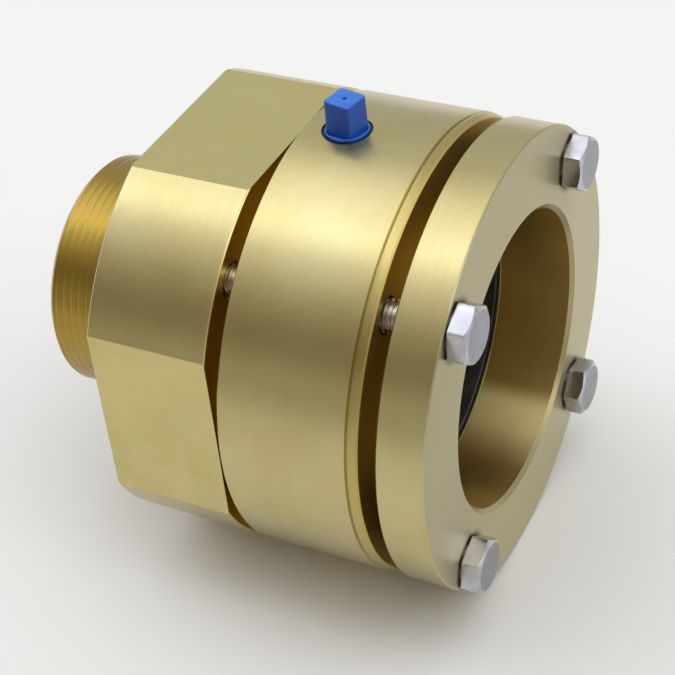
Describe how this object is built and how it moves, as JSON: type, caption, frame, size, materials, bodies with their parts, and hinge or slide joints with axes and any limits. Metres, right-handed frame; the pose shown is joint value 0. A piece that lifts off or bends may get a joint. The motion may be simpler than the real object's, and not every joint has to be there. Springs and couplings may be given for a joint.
{
  "type": "male adapter fitting",
  "caption": "Double-wall pipe termination with a male thread: flatted body, ported middle body and clamp ring drawn together by hexagon bolts over rubber seals.",
  "frame": {"origin": "on the pipe axis, at the shoulder where the male thread starts", "axes": "+X along the pipe axis out of the pipe entry, +Z along the test port, which stands on top"},
  "size_m": [0.1215, 0.115, 0.1234],
  "materials": {
    "adapter_brass": "milled flats and turned faces, satin",
    "middle_brass": "fine turned, satin",
    "ring_brass": "fine turned, satin, smooth face",
    "clamp_brass": "turned",
    "stainless": "cold formed, dull bright",
    "washer_steel": "bright",
    "seal_rubber": "matt black",
    "blue_plastic": "moulded, satin"
  },
  "bodies": {
    "adapter": {"adapter_body": "adapter_brass", "inner_seal": "seal_rubber"},
    "middle": {"middle_body": "middle_brass", "spigot_o_ring": "seal_rubber", "inner_thrust_washer": "washer_steel", "inner_clamp_half_top": "clamp_brass", "inner_clamp_half_bottom": "clamp_brass", "outer_seal": "seal_rubber"},
    "ring": {"clamp_ring": "ring_brass", "outer_pressure_washer": "washer_steel"},
    "bolt_a": {"bolt_1": "stainless"},
    "bolt_b": {"bolt_2": "stainless"},
    "bolt_c": {"bolt_3": "stainless"},
    "bolt_d": {"bolt_4": "stainless"},
    "plug_seal": {"plug_seal_ring": "seal_rubber"},
    "plug": {"test_plug": "blue_plastic"}
  },
  "joints": [
    {"name": "middle_slide", "type": "slide", "parent": "adapter", "child": "middle", "axis": [-1, 0, 0], "range_m": [0, 0.0036], "deforming": ["inner_seal"]},
    {"name": "ring_slide", "type": "slide", "parent": "middle", "child": "ring", "axis": [-1, 0, 0], "range_m": [0, 0.0046], "deforming": ["outer_seal"]},
    {"name": "bolt_1_turn", "type": "hinge", "parent": "ring", "child": "bolt_a", "pos_m": [0.0869, 0.03536, 0.03536], "axis": [-1, 0, 0], "range_deg": [0, 2361.6]},
    {"name": "bolt_2_turn", "type": "hinge", "parent": "ring", "child": "bolt_b", "pos_m": [0.0869, -0.03536, 0.03536], "axis": [-1, 0, 0], "range_deg": [0, 2361.6]},
    {"name": "bolt_3_turn", "type": "hinge", "parent": "ring", "child": "bolt_c", "pos_m": [0.0869, -0.03536, -0.03536], "axis": [-1, 0, 0], "range_deg": [0, 2361.6]},
    {"name": "bolt_4_turn", "type": "hinge", "parent": "ring", "child": "bolt_d", "pos_m": [0.0869, 0.03536, -0.03536], "axis": [-1, 0, 0], "range_deg": [0, 2361.6]},
    {"name": "plug_lift", "type": "slide", "parent": "middle", "child": "plug_seal", "axis": [0, 0, 1], "range_m": [0, 0.01003]},
    {"name": "plug_turn", "type": "hinge", "parent": "plug_seal", "child": "plug", "pos_m": [0.0456, 0, 0.0578], "axis": [0, 0, 1], "range_deg": [0, 2700]}
  ],
  "couplings": [
    {"joint": "ring_slide", "follows": "middle_slide", "ratio": 1.2777},
    {"joint": "bolt_1_turn", "follows": "middle_slide", "rad_per_m": 11449},
    {"joint": "bolt_2_turn", "follows": "middle_slide", "rad_per_m": 11449},
    {"joint": "bolt_3_turn", "follows": "middle_slide", "rad_per_m": 11449},
    {"joint": "bolt_4_turn", "follows": "middle_slide", "rad_per_m": 11449},
    {"joint": "plug_turn", "follows": "plug_lift", "rad_per_m": 4698.2}
  ]
}
